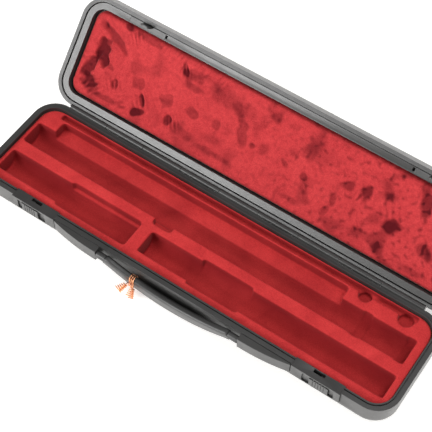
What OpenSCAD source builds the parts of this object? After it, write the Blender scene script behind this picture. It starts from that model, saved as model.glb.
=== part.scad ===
// Hard-shell flute case, lying open: a shallow base and an equal lid hinged along the back,
// with two slide latches and a bowed carrying handle on the front wall.
// Millimetres. X runs along the case, Y from the front wall to the hinge, Z up from the floor.

/* [Case] */
// Outer length of the shells
case_l = 385; // [384:1:420]
// Outer depth of the shells, from front wall to back wall
case_w = 95.5; // [94:0.5:110]
// Height of the base
base_h = 25; // [24.5:0.5:30]
// Height of the lid
lid_h = 22; // [21.5:0.5:28]
// Corner radius seen from above
corner_r = 20.5; // [17:0.5:21.5]
// Radius of the long bottom and top edges
edge_r = 10; // [7:0.5:11]
// Wall thickness of both shells
wall_t = 2.3; // [2:0.1:2.8]

/* [Rim] */
// Full width of the base rim
rim_w = 5.6; // [5.4:0.1:6.4]
// Width of the outer lip of the base rim
lip_w = 3.8; // [3.4:0.1:4]
// Width of the groove behind the outer lip
groove_w = 0.7; // [0.5:0.1:0.9]
// Depth of that groove
groove_d = 1.5; // [1:0.1:2.5]
// Height of the inner lip above the outer one
lip_rise = 1; // [0.6:0.1:1.2]
// Gap between the two rims when the case is shut
seam_gap = 0.2; // [0.1:0.05:0.3]

/* [Hinge] */
// Angle from shut to fully open
open_angle = 132.5; // [100:0.5:140]
// Number of knuckles, base and lid together
knuckle_count = 9; // [5:2:13]
// Radius of a hinge knuckle
knuckle_r = 2.2; // [2:0.1:2.6]
// Distance of the hinge pin behind the back wall
hinge_off = 1.3; // [1.2:0.1:2]
// Radius of the hinge pin
pin_r = 0.9; // [0.7:0.05:1.1]

/* [Latches] */
// Distance of each latch from the middle of the case
latch_x = 133; // [128:1:148]
// Length of a latch housing
housing_l = 42.4; // [42:0.2:46]
// Height of a latch housing
housing_h = 13.5; // [13:0.1:14]
// How far a housing stands proud of the front wall
housing_proud = 1.45; // [1.2:0.05:2]
// Width of the pocket that the thumb piece slides in
pocket_l = 27.4; // [26.5:0.1:30]
// Travel of a latch slider
latch_travel = 3.4; // [3:0.1:4]
// Length of the thumb piece of a slider
thumb_l = 16.4; // [15:0.2:17]
// Width of a lid hook
hook_w = 8.6; // [8:0.2:9]
// Thickness of a lid hook
hook_t = 1.4; // [1:0.1:1.6]
// Length of a catch plate
catch_l = 35; // [32:1:38]

/* [Handle] */
// Length of the handle between its two brackets
handle_l = 133; // [110:1:140]
// Drop of the handle's middle below its pivots
handle_drop = 10; // [8:0.5:11]
// Thickness of the handle bar
bar_t = 5.6; // [4.6:0.1:5.8]
// Height of the handle bar
bar_h = 8.4; // [6.5:0.1:9]
// How much deeper the bar's middle is than its ends
grip_swell = 4; // [1:0.5:6]
// Radius of the handle's pivot pins
pivot_r = 1.5; // [1.2:0.1:1.7]
// Depth of the finger recess behind the handle
scoop_d = 3; // [2:0.1:3.2]

/* [Insert] */
// Drop of the velvet surface below the rim
insert_drop = 2; // [1.5:0.5:3]
// Thickness of the velvet skin
skin_t = 0.8; // [0.6:0.1:1]
// Length of the long body recess
body_len = 362; // [350:1:363]
// Radius of the body recess
body_r = 10.8; // [10.2:0.1:11]
// Width of the key bay beside the body recess
key_w = 11.6; // [9:0.1:12]
// Length of the key bay
key_len = 279; // [250:1:290]
// Length of the head recess
head_len = 222; // [214:1:226]
// Radius of the head recess
head_r = 10.6; // [10.2:0.1:11]
// Length of the foot recess
foot_len = 130; // [126:1:133]
// Length of the rod slot along the back
rod_len = 342; // [320:1:346]
// Radius of the rod slot
rod_r = 2.7; // [2.4:0.1:2.9]

/* [Lid lining] */
// Depth of the foam's face behind the lid's rim
lining_depth = 7.4; // [7:0.1:10.5]
// Thickness of the foam behind the plush
foam_t = 2.6; // [1.5:0.1:4]
// Crown of the plush lining
plush_crown = 4.4; // [3.5:0.1:6]

/* [Hidden] */
$fn = 48;

shell_black = [0.16, 0.15, 0.15];
trim_black = [0.1, 0.1, 0.1];
velvet_red = [0.75, 0.16, 0.18];
plush_red = [0.84, 0.2, 0.23];
steel = [0.7, 0.7, 0.72];
copper = [0.8, 0.42, 0.22];

// Shell outline
front_y = -case_w / 2;
back_y = case_w / 2;
fit_gap = 0.1;
slip_gap = 0.4;
bore_gap = 0.05;
flange_h = 4;

// Hinge
pin_y = back_y + hinge_off;
hinge_l = case_l - 2 * corner_r - 3;
knuckle_gap = 0.4;
knuckle_pitch = hinge_l / knuckle_count;
knuckle_clear = 0.35;
pin_head_r = pin_r + 0.6;
pin_head_t = 0.8;
stop_lug_h = 6.5;
stop_lug_l = 12;

// Latch, in a frame at the wall's front face under the rim's top, x pointing outward
plate_in = rim_w + 1.25;
housing_wall = 1;
top_wall = 1.5;
cavity_y0 = 0.8;
pocket_d = 1.25;
cavity_y1 = plate_in - housing_wall;
cavity_x1 = housing_l / 2 - 4.8;
cavity_x0 = -(housing_l / 2 - 7.5);
pocket_x = 2.3;
thumb_x = 3.3;
thumb_proud = 0.6;
stem_l = 8;
stem_z0 = -9;
stem_z1 = -4.5;
slider_gap = 0.2;
shelf_t = 2.2;
screw_r = 0.9;
screw_head_r = 1.6;
screw_head_t = 1.1;
screw_grip = 7;
screw_x_in = (cavity_x0 - housing_l / 2) / 2;
screw_x_out = (cavity_x1 + housing_l / 2) / 2;
screw_y = 4.35;
hook_in = 4.7;
hook_foot_z = -7.2;
hook_notch_z = -2.3;
hook_foot_h = 2.2;
hook_foot_w = 2.7;
tooth_gap = 0.3;
seat_x0 = hook_w / 2 + 1.9;
seat_x1 = seat_x0 + 3.4;
spring_r = 1.5;
spring_wire = 0.5;
spring_turns = 5;
spring_y = 3.9;
spring_z = -8.6;

// Handle and its brackets
pivot_y = front_y - 3.75;
pivot_z = base_h - 6;
eye_r = 3;
eye_l = 8.5;
bracket_gap = 0.4;
bracket_x0 = handle_l / 2 + bracket_gap;
bracket_x1 = latch_x - housing_l / 2 - 0.6;
bracket_out = 6.1;
bracket_top = 0.4;
bracket_h = 12.1;
bracket_screw_r = 1;
pivot_pin_in = 6;
scoop_r = 12;
scoop_z = base_h - 11.5;
scoop_l = handle_l - 37;

// Insert
insert_off = rim_w + slip_gap;
insert_top = base_h - insert_drop;
core_top = insert_top - skin_t;
plinth_h = 1.4;
channel_z = insert_top - 5.5;
body_x0 = -case_l / 2 + insert_off + 3.5;
body_x1 = body_x0 + body_len;
rod_y = back_y - insert_off - 1.05 - rod_r;
rod_z = insert_top - rod_r;
key_land = 1.6;
key_y1 = rod_y - rod_r - key_land;
body_y = key_y1 - key_w - body_r;
key_x0 = body_x0 + 17;
key_x1 = key_x0 + key_len;
key_depth = 10;
front_land = 9.1;
head_y = front_y + insert_off + front_land + head_r;
head_x1 = case_l / 2 - insert_off - 5.9;
head_x0 = head_x1 - head_len;
lip_bay_x0 = head_x0 + 48;
lip_bay_l = 46.5;
lip_bay_r = head_r + 2.4;
foot_x0 = body_x0;
foot_x1 = foot_x0 + foot_len;
foot_bay_depth = 8;
foot_bay_l = 69;
foot_bay_x0 = foot_x1 - foot_bay_l;
bay_front = 2.2;
bay_back = 2;
side_bay_x0 = body_x0 + 136;
side_bay_l = 18;
side_bay_y0 = body_y - body_r - 5.5;
side_bay_depth = 7;
ring_x = body_x1 - 46;
ring_l = 8;
ring_rise = 0.9;
scallop_r = 6.5;
scallop_small_r = 5.5;
scallop_depth = 8;
scallop_shift = 3.7;
scallop_in = 8;
scallop_pitch = 36;

// Lid lining, heights above the seam while the case is shut
lid_lip_w = 3.2;
frame_off = lid_lip_w + 0.7;
frame_w = 5.4;
frame_drop = 1.5;
frame_t = 2;
skirt_t = 1.6;
board_t = 1.4;
board_bottom = lining_depth + foam_t;
board_top = board_bottom + board_t;
board_off = 7;
post_r = 3.5;
pad_off = frame_off + frame_w + 0.5;
plush_off = pad_off + 0.8;
pad_bottom = lining_depth;
catch_t = 1.2;
catch_w = 4.7;
catch_hole_x = catch_l / 2 - 4.5;
catch_slot_w = 2;
peg_r = 0.9;
peg_l = 4;

// Points of an arc about a centre
function arc(cx, cy, r, a0, a1, n) =
    [for (i = [0 : n]) let (a = a0 + (a1 - a0) * i / n) [cx + r * cos(a), cy + r * sin(a)]];

// Section of the base wall: u outward from the corner axis, z up
function base_section() = let (rc = corner_r, er = edge_r, h = base_h) concat(
    [[0, 0]],
    arc(rc - er, er, er, -90, 0, 8),
    [[rc, h], [rc - lip_w, h], [rc - lip_w, h - groove_d],
     [rc - lip_w - groove_w, h - groove_d], [rc - lip_w - groove_w, h + lip_rise],
     [rc - rim_w, h + lip_rise], [rc - rim_w, h - flange_h],
     [rc - wall_t, h - flange_h - (rim_w - wall_t)]],
    arc(rc - er, er, er - wall_t, 0, -90, 8),
    [[0, wall_t]]);

// Section of the lid wall above the seam
function lid_section() = let (rc = corner_r, er = edge_r, h = lid_h) concat(
    [[0, h - wall_t]],
    arc(rc - er, h - er, er - wall_t, 90, 0, 8),
    [[rc - wall_t, 3.6], [rc - lid_lip_w, 2.7], [rc - lid_lip_w, seam_gap], [rc, seam_gap]],
    arc(rc - er, h - er, er, 0, 90, 8),
    [[0, h]]);

// Section of the lid's inner frame
function frame_section() = let (u0 = corner_r - frame_off - frame_w, u1 = corner_r - frame_off)
    [[u0, frame_drop], [u1, frame_drop], [u1, frame_drop + frame_t],
     [u0 + skirt_t, frame_drop + frame_t], [u0 + skirt_t, board_bottom - fit_gap],
     [u0, board_bottom - fit_gap]];

// Sweeps a section round a rectangle with round corners
module ring_sweep(l, w, rc) {
    for (k = [0, 1]) rotate([0, 0, 180 * k]) {
        translate([-(l / 2 - rc), w / 2 - rc, 0])
            rotate([90, 0, 90]) linear_extrude(l - 2 * rc) children();
        rotate([0, 0, -90]) translate([-(w / 2 - rc), l / 2 - rc, 0])
            rotate([90, 0, 90]) linear_extrude(w - 2 * rc) children();
        translate([l / 2 - rc, w / 2 - rc, 0]) rotate_extrude(angle = 90) children();
        translate([-(l / 2 - rc), w / 2 - rc, 0])
            rotate([0, 0, 90]) rotate_extrude(angle = 90) children();
    }
}

// Flat plate with the shells' outline, drawn in by off on every side
module inset_plate(off, h) {
    l = case_l - 2 * off;
    w = case_w - 2 * off;
    r = max(corner_r - off, 1);
    linear_extrude(h) {
        square([l - 2 * r, w], center = true);
        square([l, w - 2 * r], center = true);
        for (sx = [-1, 1], sy = [-1, 1]) translate([sx * (l / 2 - r), sy * (w / 2 - r)]) circle(r);
    }
}

// Turns what is drawn shut to the open position
module opened() {
    translate([0, pin_y, base_h]) rotate([-open_angle, 0, 0]) translate([0, -pin_y, -base_h])
        children();
}

// Draws a right-hand part, or its mirror image on the left
module sided(side) {
    if (side < 0) mirror([1, 0, 0]) children();
    else children();
}

// Places a part in the latch frame
module at_latch(side) {
    sided(side) translate([latch_x, front_y, base_h]) children();
}

// Cylinder along X from x0 to x1 at y, z
module rod_x(x0, x1, y, z, r) {
    translate([x0, y, z]) rotate([0, 90, 0]) cylinder(r = r, h = x1 - x0);
}

// Start of knuckle i
function knuckle_x(i) = -hinge_l / 2 + i * knuckle_pitch;

// Knuckles of one shell: a barrel, its web and a wedge on the wall; up is 1 for the lid
module knuckles(first, up) {
    for (i = [first : 2 : knuckle_count - 1]) {
        x0 = knuckle_x(i) + knuckle_gap / 2;
        x1 = knuckle_x(i + 1) - knuckle_gap / 2;
        rod_x(x0, x1, pin_y, base_h, knuckle_r);
        translate([x0, 0, base_h]) rotate([90, 0, 90]) linear_extrude(x1 - x0)
            polygon([[back_y - 1, up * seam_gap], [pin_y, up * seam_gap], [pin_y, up * knuckle_r],
                     [back_y - 0.5, up * 3 * knuckle_r], [back_y - 1, up * 3 * knuckle_r]]);
    }
}

// Room that one shell leaves for the other shell's knuckles
module knuckle_room(first) {
    for (i = [first : 2 : knuckle_count - 1])
        rod_x(knuckle_x(i) - knuckle_gap / 2, knuckle_x(i + 1) + knuckle_gap / 2, pin_y, base_h,
              knuckle_r + knuckle_clear);
    for (s = [-1, 1]) let (mid = s * (hinge_l / 2 + pin_head_t / 2))
        rod_x(mid - pin_head_t, mid + pin_head_t, pin_y, base_h, pin_head_r + knuckle_clear);
}

module pin_bore() {
    rod_x(-hinge_l, hinge_l, pin_y, base_h, pin_r + bore_gap);
}

module base_shell() {
    color(shell_black) difference() {
        union() {
            difference() {
                union() {
                    ring_sweep(case_l, case_w, corner_r) polygon(base_section());
                    translate([-case_l / 2 + corner_r, -case_w / 2 + corner_r, 0])
                        cube([case_l - 2 * corner_r, case_w - 2 * corner_r, wall_t]);
                    // Thicker wall behind the finger recess
                    translate([-handle_l / 2 + 6, front_y + 1, 4])
                        cube([handle_l - 12, scoop_d + wall_t - 1, base_h - flange_h - 3]);
                }
                knuckle_room(1);
                for (side = [-1, 1]) at_latch(side)
                    translate([-housing_l / 2 - fit_gap, -1, -housing_h])
                        cube([housing_l + 2 * fit_gap, rim_w + 2, housing_h + 2 * lip_rise + 1]);
            }
            knuckles(0, -1);
            // Shelves under the latch housings
            for (side = [-1, 1]) at_latch(side)
                translate([-housing_l / 2 - fit_gap, 1, -housing_h - shelf_t])
                    cube([housing_l + 2 * fit_gap, plate_in - 1.3, shelf_t]);
        }
        pin_bore();
        // Finger recess behind the handle
        rod_x(-scoop_l / 2, scoop_l / 2, front_y - scoop_r + scoop_d, scoop_z, scoop_r);
        for (s = [-1, 1]) translate([s * scoop_l / 2, front_y - scoop_r + scoop_d, scoop_z])
            sphere(scoop_r);
        for (side = [-1, 1]) {
            at_latch(side) for (x = [screw_x_in, screw_x_out])
                translate([x, screw_y, -housing_h - shelf_t - 1])
                    cylinder(r = screw_r + 2 * bore_gap, h = shelf_t + 2);
            sided(side) for (x = bracket_screws()) translate([x, front_y - 1, bracket_screw_z()])
                rotate([-90, 0, 0]) cylinder(r = bracket_screw_r + 2 * bore_gap, h = wall_t + 2);
        }
    }
}

module hinge_pin() {
    mid = hinge_l / 2 + fit_gap + pin_head_t / 2;
    color(steel) {
        rod_x(-mid, mid, pin_y, base_h, pin_r);
        for (s = [-1, 1]) rod_x(s * mid - pin_head_t / 2, s * mid + pin_head_t / 2,
                                pin_y, base_h, pin_head_r);
    }
}

// Recess with a round bottom along X, grown by g on every side
module round_recess(x0, x1, y, r, z, g) {
    translate([x0 - g, y, z]) rotate([90, 0, 90]) linear_extrude(x1 - x0 + 2 * g)
        polygon(concat(arc(0, 0, r + g, 180, 360, 20), [[r + g, 20], [-r - g, 20]]));
}

// Recess with a flat bottom and round corners seen from above, grown by g
module flat_recess(x0, x1, y0, y1, depth, g) {
    r = 2.5;
    l = x1 - x0;
    w = y1 - y0;
    translate([(x0 + x1) / 2, (y0 + y1) / 2, insert_top - depth - g]) linear_extrude(depth + 10) {
        square([l - 2 * r, w + 2 * g], center = true);
        square([l + 2 * g, w - 2 * r], center = true);
        for (sx = [-1, 1], sy = [-1, 1]) translate([sx * (l / 2 - r), sy * (w / 2 - r)])
            circle(r + g);
    }
}

// Every recess of the insert, grown by g
module recesses(g) {
    round_recess(body_x0, body_x1, body_y, body_r, channel_z, g);
    round_recess(ring_x, ring_x + ring_l, body_y, body_r + ring_rise, channel_z, g);
    round_recess(body_x1 - ring_l, body_x1 + 0.1, body_y, body_r + ring_rise * 0.8, channel_z, g);
    flat_recess(key_x0, key_x1, body_y, key_y1, key_depth, g);
    flat_recess(side_bay_x0, side_bay_x0 + side_bay_l, side_bay_y0, body_y, side_bay_depth, g);
    round_recess(head_x0, head_x1, head_y, head_r, channel_z, g);
    round_recess(lip_bay_x0, lip_bay_x0 + lip_bay_l, head_y, lip_bay_r,
                 channel_z + lip_bay_r - head_r, g);
    round_recess(foot_x0, foot_x1, head_y, head_r, channel_z, g);
    flat_recess(foot_bay_x0, foot_x1, head_y - head_r - bay_front, head_y + head_r + bay_back,
                foot_bay_depth, g);
    round_recess(-rod_len / 2, rod_len / 2, rod_y, rod_r, rod_z, g);
    for (k = [[scallop_in, scallop_r], [scallop_in + scallop_pitch, scallop_small_r]])
        translate([rod_len / 2 - k[0], rod_y - scallop_shift, insert_top - scallop_depth - g])
            cylinder(r = k[1] + g, h = scallop_depth + 12);
}

// Outline of the insert, notched where the latch housings reach in
module insert_block(z0, h) {
    difference() {
        translate([0, 0, z0]) inset_plate(insert_off, h);
        for (side = [-1, 1]) at_latch(side)
            translate([-housing_l / 2 - slip_gap, 0, -base_h - 1])
                cube([housing_l + 2 * slip_gap, plate_in + 0.25, base_h + 10]);
    }
}

// Parts of the insert's core that meet along straight seams: the back rail, the block at the
// rod's end, the body block and the two front blocks
module core_share(part) {
    far = case_l;
    back_seam = key_y1 + key_land * 0.6;
    rail_bay_x = key_x1 + skin_t + 3;
    rail_bay_y = rod_y - scallop_shift - scallop_r - skin_t - 1.5;
    front_seam = (head_y + lip_bay_r + side_bay_y0) / 2;
    cross_seam = (foot_x1 + head_x0) / 2;
    h = base_h;
    if (part == "rail") translate([-far, back_seam + fit_gap / 2, 0])
        cube([far + rail_bay_x - fit_gap / 2, far, h]);
    if (part == "rod_end") translate([rail_bay_x + fit_gap / 2, rail_bay_y + fit_gap / 2, 0])
        cube([far, far, h]);
    if (part == "body") difference() {
        translate([-far, front_seam + fit_gap / 2, 0])
            cube([2 * far, back_seam - front_seam - fit_gap, h]);
        translate([rail_bay_x - fit_gap / 2, rail_bay_y - fit_gap / 2, -1]) cube([far, far, h + 2]);
    }
    if (part == "foot") translate([-far, front_seam - fit_gap / 2 - far, 0])
        cube([far + cross_seam - fit_gap / 2, far, h]);
    if (part == "head") translate([cross_seam + fit_gap / 2, front_seam - fit_gap / 2 - far, 0])
        cube([far, far, h]);
}

module core_block(part) {
    color(velvet_red) difference() {
        intersection() {
            union() {
                insert_block(wall_t + plinth_h, core_top - wall_t - plinth_h - fit_gap);
                translate([0, 0, wall_t + fit_gap]) inset_plate(edge_r - 0.6, plinth_h);
            }
            core_share(part);
        }
        recesses(skin_t + fit_gap);
    }
}

module insert_velvet() {
    color(velvet_red) difference() {
        union() {
            insert_block(core_top, skin_t);
            intersection() {
                recesses(skin_t);
                insert_block(1, core_top - 1);
            }
        }
        recesses(0);
    }
}

module latch_housing(side) {
    color(shell_black) at_latch(side) difference() {
        translate([-housing_l / 2, -housing_proud, -housing_h])
            cube([housing_l, housing_proud + plate_in, housing_h]);
        // Room for the slider and its spring
        translate([cavity_x0, cavity_y0, -housing_h - 1])
            cube([cavity_x1 - cavity_x0, cavity_y1 - cavity_y0, housing_h + 1 - top_wall]);
        // Pocket for the thumb piece, and the slot for its stem
        translate([pocket_x - pocket_l / 2, -housing_proud - 1, -housing_h + 0.8])
            cube([pocket_l, 1 + pocket_d, housing_h - 3]);
        translate([thumb_x - stem_l / 2 - slider_gap, -housing_proud, stem_z0 - slider_gap])
            cube([stem_l + latch_travel + 2 * slider_gap, housing_proud + cavity_y0 + 0.5,
                  stem_z1 - stem_z0 + 2 * slider_gap]);
        // Hook window in the top
        translate([-hook_w / 2 - 0.6, hook_in - hook_t, -top_wall - 1])
            cube([hook_w + 1.2, 2 * hook_t, top_wall + 2]);
        for (x = [screw_x_in, screw_x_out]) translate([x, screw_y, -housing_h - 1])
            cylinder(r = screw_r + bore_gap, h = 1 + screw_grip + 0.5);
    }
}

module latch_slider(side) {
    pocket_floor = pocket_d - housing_proud;
    plate_y0 = cavity_y0 + slider_gap / 2;
    plate_y1 = cavity_y0 + 1.2;
    plate_x0 = cavity_x0 + 2 * slider_gap;
    plate_x1 = cavity_x1 - latch_travel - 2 * slider_gap;
    plate_z0 = -housing_h + 2 * slider_gap;
    plate_z1 = -top_wall - slider_gap;
    tooth_y1 = cavity_y1 - 0.3;
    tooth_z0 = hook_foot_z + hook_foot_h + tooth_gap;
    tooth_z1 = hook_notch_z - tooth_gap;
    tooth_x0 = hook_w / 2 - hook_foot_w + tooth_gap;
    thumb_y0 = -housing_proud - thumb_proud;
    color(trim_black) at_latch(side) {
        difference() {
            translate([thumb_x - thumb_l / 2, thumb_y0, -housing_h + 0.8 + slider_gap])
                cube([thumb_l, pocket_floor - slider_gap / 2 - thumb_y0,
                      housing_h - 3 - 2 * slider_gap]);
            // Grip grooves
            for (i = [-2 : 2])
                translate([thumb_x + i * thumb_l / 7 - 0.3, thumb_y0 - 1, -housing_h])
                    cube([0.6, 1.5, housing_h]);
        }
        translate([thumb_x - stem_l / 2, pocket_floor - 0.5, stem_z0])
            cube([stem_l, plate_y0 - pocket_floor + 1, stem_z1 - stem_z0]);
        translate([plate_x0, plate_y0, plate_z0])
            cube([plate_x1 - plate_x0, plate_y1 - plate_y0, plate_z1 - plate_z0]);
        translate([tooth_x0, plate_y1 - 0.1, tooth_z0])
            cube([seat_x1 - tooth_x0, tooth_y1 - plate_y1 + 0.1, tooth_z1 - tooth_z0]);
        translate([seat_x0, plate_y1 - 0.1, -11])
            cube([seat_x1 - seat_x0, tooth_y1 - plate_y1 + 0.1, 11 + tooth_z1]);
    }
}

// Unit vector
function unit(v) = v / norm(v);

// Directions of a path at each point
function tangents(p) = let (n = len(p)) [for (i = [0 : n - 1])
    unit(p[min(i + 1, n - 1)] - p[max(i - 1, 0)])];

// Side vectors carried along a path without twisting
function carried(t, first) = [for (i = 0, u = first; i < len(t);
    i = i + 1, u = i < len(t) ? unit(u - (u * t[i]) * t[i]) : u) u];

// Tube of radius r along a path
module tube(path, r, first, sides = 6) {
    t = tangents(path);
    u = carried(t, unit(first - (first * t[0]) * t[0]));
    n = len(path);
    points = [for (i = [0 : n - 1], k = [0 : sides - 1]) let (a = 360 * k / sides)
        path[i] + r * (cos(a) * u[i] + sin(a) * cross(t[i], u[i]))];
    walls = [for (i = [0 : n - 2], k = [0 : sides - 1]) let (
        a = i * sides + k, b = i * sides + (k + 1) % sides) each
        [[a, b + sides, b], [a, a + sides, b + sides]]];
    start = [for (k = [1 : sides - 2]) [0, k, k + 1]];
    finish = [for (k = [1 : sides - 2]) let (e = (n - 1) * sides) [e, e + k + 1, e + k]];
    polyhedron(points, concat(walls, start, finish), convexity = 10);
}

// Least gap between stretches of a tube that lie at least skip points apart along it
function least_gap(p, r, skip) = min([for (i = [0 : len(p) - 1 - skip],
    j = [i + skip : len(p) - 1]) norm(p[i] - p[j])]) - 2 * r;

spring_x0 = seat_x1 + 0.05;
spring_x1 = cavity_x1 - 0.05;
spring_path = concat(
    [[spring_x0, spring_y + spring_r, spring_z]],
    [for (i = [0 : 8 * spring_turns]) let (a = 45 * i)
        [spring_x0 + spring_wire + (spring_x1 - spring_x0 - 2 * spring_wire) * i
             / (8 * spring_turns), spring_y + spring_r * cos(a), spring_z + spring_r * sin(a)]],
    [[spring_x1, spring_y + spring_r, spring_z]]);
echo(spring_least_gap = least_gap(spring_path, spring_wire / 2, 6));

module latch_spring(side) {
    color(steel) at_latch(side) tube(spring_path, spring_wire / 2, [0, 0, 1]);
}

// Screw standing along Z, head below z = 0
module screw(r, l, head_r, head_t) {
    translate([0, 0, -head_t]) difference() {
        union() {
            cylinder(r = head_r, h = head_t);
            cylinder(r = r, h = head_t + l);
        }
        for (a = [0, 90]) rotate([0, 0, a]) translate([-head_r * 0.7, -0.2, -1])
            cube([head_r * 1.4, 0.4, 1 + head_t * 0.5]);
    }
}

module latch_screws(side) {
    color(steel) at_latch(side) for (x = [screw_x_in, screw_x_out])
        translate([x, screw_y, -housing_h - shelf_t - bore_gap])
            screw(screw_r, shelf_t + screw_grip, screw_head_r, screw_head_t);
}

function bracket_screws() = [bracket_x0 + 12, bracket_x1 - 9];
function bracket_screw_z() = base_h - 9.6;

module handle_bracket(side) {
    steps = 12;
    reach = bracket_x1 - bracket_x0;
    color(shell_black) sided(side) difference() {
        translate([bracket_x0, front_y - fit_gap / 2, base_h - bracket_top - bracket_h])
            linear_extrude(bracket_h) polygon(concat([[0, 0]], [for (i = [0 : steps])
                [reach * i / steps,
                 -bracket_out + (bracket_out - housing_proud) * pow(i / steps, 2.2)]],
                [[reach, 0]]));
        rod_x(bracket_x0 - 1, bracket_x0 + pivot_pin_in + 0.3, pivot_y, pivot_z,
              pivot_r + bore_gap);
        for (i = [0, 1]) translate([bracket_screws()[i], front_y + 1, bracket_screw_z()])
            rotate([90, 0, 0])
                cylinder(r = bracket_screw_r + bore_gap, h = 1 + bracket_out - 2.5 - i * 2.2);
    }
}

module bracket_screw_pair(side) {
    color(steel) sided(side) for (i = [0, 1])
        translate([bracket_screws()[i], front_y + wall_t + bore_gap, bracket_screw_z()])
            rotate([90, 0, 0])
                screw(bracket_screw_r, wall_t + bracket_out - 3 - i * 2.2, 1.8, 1.2);
}

module handle_pin(side) {
    color(steel) sided(side)
        rod_x(handle_l / 2 - eye_l + 1.2, bracket_x0 + pivot_pin_in, pivot_y, pivot_z, pivot_r);
}

// Half width of the bar's arc, and the radius of its centre line
bar_half = handle_l / 2 - eye_l + 0.5;
bow_r = (pow(bar_half, 2) + pow(handle_drop, 2)) / (2 * handle_drop);
bow_a = asin(bar_half / bow_r);
function arc_r(drop) = (pow(bar_half, 2) + pow(drop, 2)) / (2 * drop);

// Bar bowed down by drop, with a section of height h and thickness t
module bowed_bar(drop, h, t) {
    cr = 2;
    r = arc_r(drop);
    a = asin(bar_half / r);
    translate([0, pivot_y, pivot_z - drop + r]) rotate([90, 0, 0])
        rotate([0, 0, -90 - a]) rotate_extrude(angle = 2 * a, $fn = 180)
            translate([r, 0]) polygon(concat(
                arc(h / 2 - cr, t / 2 - cr, cr, 0, 90, 5),
                arc(-h / 2 + cr, t / 2 - cr, cr, 90, 180, 5),
                arc(-h / 2 + cr, -t / 2 + cr, cr, 180, 270, 5),
                arc(h / 2 - cr, -t / 2 + cr, cr, 270, 360, 5)));
}

module handle_grip() {
    color(shell_black) difference() {
        union() {
            bowed_bar(handle_drop, bar_h, bar_t);
            // Deeper middle, a little thinner than the bar
            bowed_bar(handle_drop + grip_swell, bar_h - 0.6, bar_t - 0.5);
            for (s = [-1, 1]) rod_x(s > 0 ? handle_l / 2 - eye_l : -handle_l / 2,
                                    s > 0 ? handle_l / 2 : -handle_l / 2 + eye_l,
                                    pivot_y, pivot_z, eye_r);
        }
        // Bar ends rounded off above the pivot, so that they clear the wall as the handle swings
        for (s = [-1, 1]) difference() {
            translate([s * (handle_l / 2 - eye_l) - 8, pivot_y - bar_t, pivot_z])
                cube([16, 2 * bar_t, bar_h]);
            rod_x(-handle_l, handle_l, pivot_y, pivot_z, eye_r + 0.4);
        }
        for (s = [-1, 1]) rod_x(s > 0 ? handle_l / 2 - eye_l + 1 : -handle_l / 2 - 1,
                                s > 0 ? handle_l / 2 + 1 : -handle_l / 2 + eye_l - 1,
                                pivot_y, pivot_z, pivot_r + bore_gap);
    }
}

// Copper wire tie: three loops round the bar and a curly tail at each end
tie_r = 0.45;
tie_loops = 3;
tie_pitch = 1.7;
tie_x = -32;
tie_swell = grip_swell * (1 - pow(tie_x / bar_half, 2));
tie_z = pivot_z - handle_drop + bow_r - sqrt(pow(bow_r, 2) - pow(tie_x, 2)) - tie_swell / 2;
tie_ry = bar_t / 2 + tie_r + 0.35;
tie_rz = (bar_h + tie_swell) / 2 + tie_r + 0.7;
function squared(t) = sign(t) * pow(abs(t), 0.62);
curls = 5;
tie_winding = [for (i = [0 : 24 * tie_loops]) let (a = 180 + 15 * i)
    [tie_x + tie_pitch * (i / 24 - tie_loops / 2), pivot_y + tie_ry * squared(cos(a)),
     tie_z + tie_rz * squared(sin(a))]];
// A tail that leaves a point on the bar's outer side and curls round the direction d
function tail(p, d, side, grow) = let (e = unit(cross(d, [0, 0, 1])), f = cross(d, e))
    [for (i = [1 : 8 * curls]) let (a = 45 * i, s = i / (8 * curls), r = 1.6 + grow * s)
        p + d * (1.6 + 8 * s) + e * side * r * sin(a) + f * (r * (1 - cos(a)) - 0.6 * r)];
tie_ends = [tie_winding[0], tie_winding[len(tie_winding) - 1]];
tie_tail_a = tail(tie_ends[0], unit([-0.4, -0.85, -0.15]), -1, 1.8);
tie_tail_b = tail(tie_ends[1], unit([0.15, -0.85, -0.5]), 1, 1.8);
tie_path = concat([for (i = [len(tie_tail_a) - 1 : -1 : 0]) tie_tail_a[i]], tie_winding,
                  tie_tail_b);
echo(tie_least_gap = least_gap(tie_path, tie_r, 5));

module handle_tie() {
    color(copper) tube(tie_path, tie_r, [0, 0, 1]);
}

module lid_shell() {
    color(shell_black) {
        difference() {
            union() {
                opened() difference() {
                    union() {
                        translate([0, 0, base_h]) {
                            ring_sweep(case_l, case_w, corner_r) polygon(lid_section());
                            translate([-case_l / 2 + corner_r, -case_w / 2 + corner_r,
                                       lid_h - wall_t])
                                cube([case_l - 2 * corner_r, case_w - 2 * corner_r, wall_t]);
                            // Posts that carry the backing board
                            for (i = [-2 : 2]) translate([i * case_l / 5.5, 0, board_top + fit_gap])
                                cylinder(r = post_r, h = lid_h - board_top - wall_t);
                        }
                    }
                    knuckle_room(0);
                }
                opened() knuckles(1, 1);
                // Stop lugs that meet the base's back wall when the lid is fully open
                for (i = [1 : 2 : knuckle_count - 1])
                    translate([knuckle_x(i + 0.5) - stop_lug_l / 2, back_y + fit_gap,
                               base_h - stop_lug_h])
                        cube([stop_lug_l, hinge_off + 1, stop_lug_h - 0.8]);
            }
            pin_bore();
        }
    }
}

// Places a part on a lid catch: the latch frame, turned with the lid
module at_catch(side) {
    opened() at_latch(side) children();
}

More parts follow.
